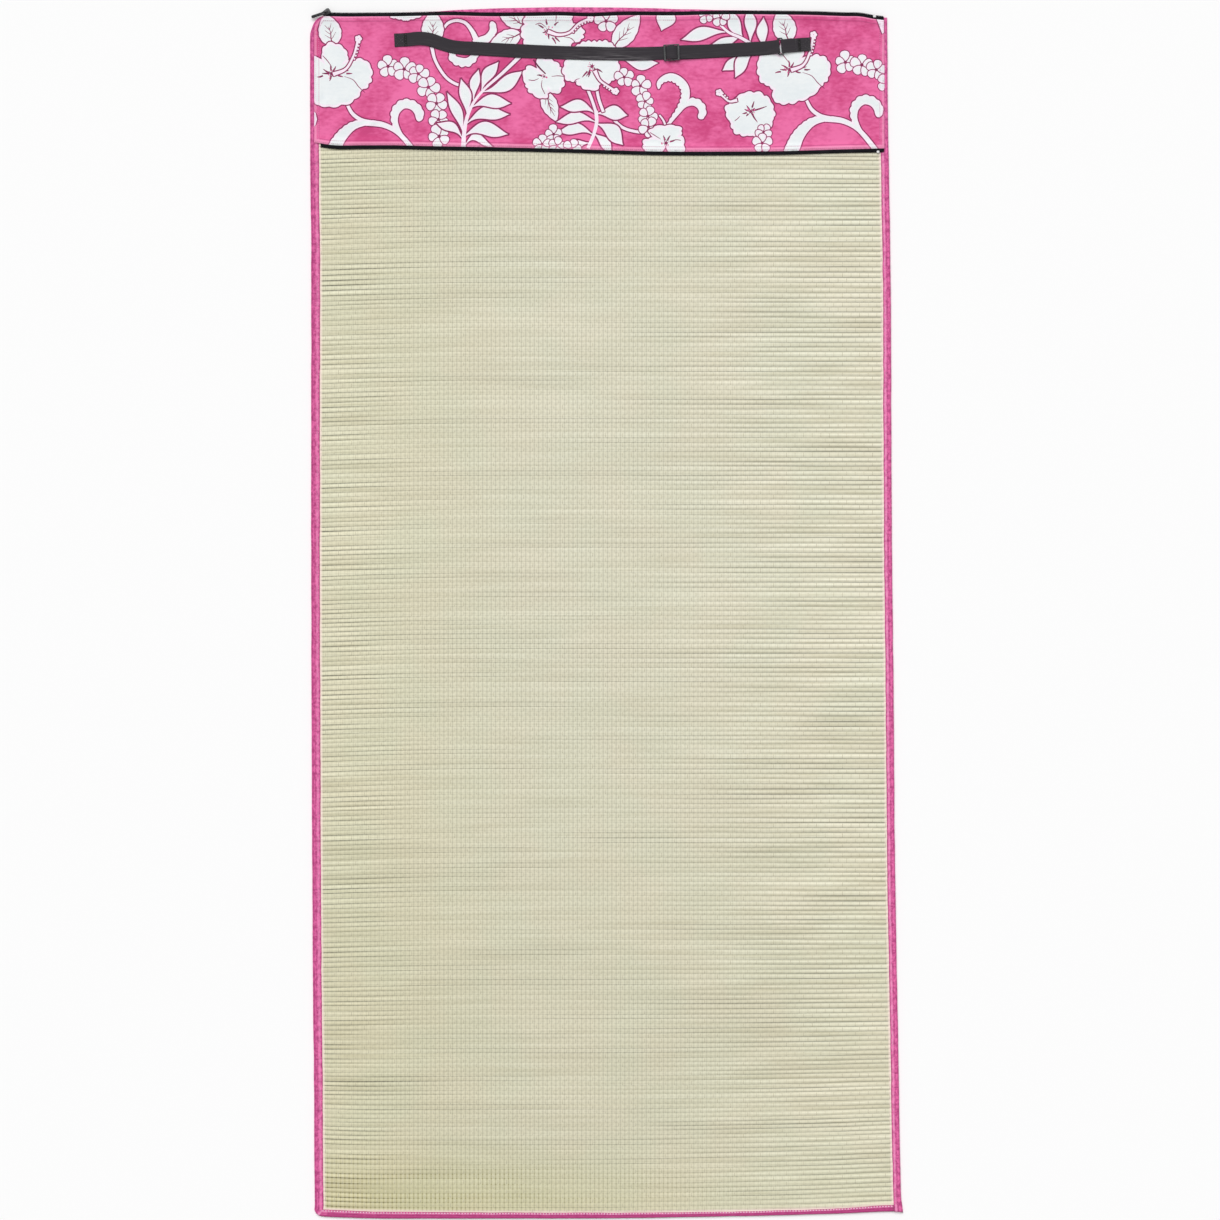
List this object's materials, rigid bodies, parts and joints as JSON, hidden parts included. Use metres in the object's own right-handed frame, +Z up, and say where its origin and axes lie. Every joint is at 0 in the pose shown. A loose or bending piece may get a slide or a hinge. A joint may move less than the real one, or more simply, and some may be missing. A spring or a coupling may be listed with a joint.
{
  "type": "beach mat",
  "caption": "Roll-up woven straw beach mat lying open, with pink bound edges, a pink flowered zip-up cover at its head and a black carrying strap.",
  "frame": {"origin": "On the ground under the middle of the mat's outline, which lies flat.", "axes": "+X across the mat to its right edge, +Y along it to its head end with the cover, +Z up."},
  "size_m": [0.8805, 1.8, 0.012],
  "materials": {
    "straw": "woven dry straw, pale yellow-grey",
    "binding_tape": "woven cotton tape, deep pink",
    "printed_cotton": "plain-woven cotton, bright pink with a white flower print",
    "zip_tape": "woven zip tape, black",
    "zip_coil": "nylon coil, black",
    "zip_metal": "black painted die casting",
    "zip_end": "moulded plastic, near white",
    "webbing": "woven webbing, black with a soft sheen",
    "strap_fitting": "moulded plastic, black"
  },
  "bodies": {
    "root": {"straw_mat": "straw", "binding_left_foot": "binding_tape", "binding_right": "binding_tape", "binding_head": "binding_tape", "head_panel": "printed_cotton", "zip_head_tape": "zip_tape", "zip_head_coil": "zip_coil", "zip_lower_tape": "zip_tape", "zip_lower_coil": "zip_coil", "zip_slider": "zip_metal", "zip_pull": "zip_metal", "zip_head_stop": "zip_end", "zip_lower_stop": "zip_end", "strap": "webbing", "strap_tab": "webbing", "strap_ring": "strap_fitting", "strap_adjuster": "strap_fitting"}
  },
  "joints": []
}
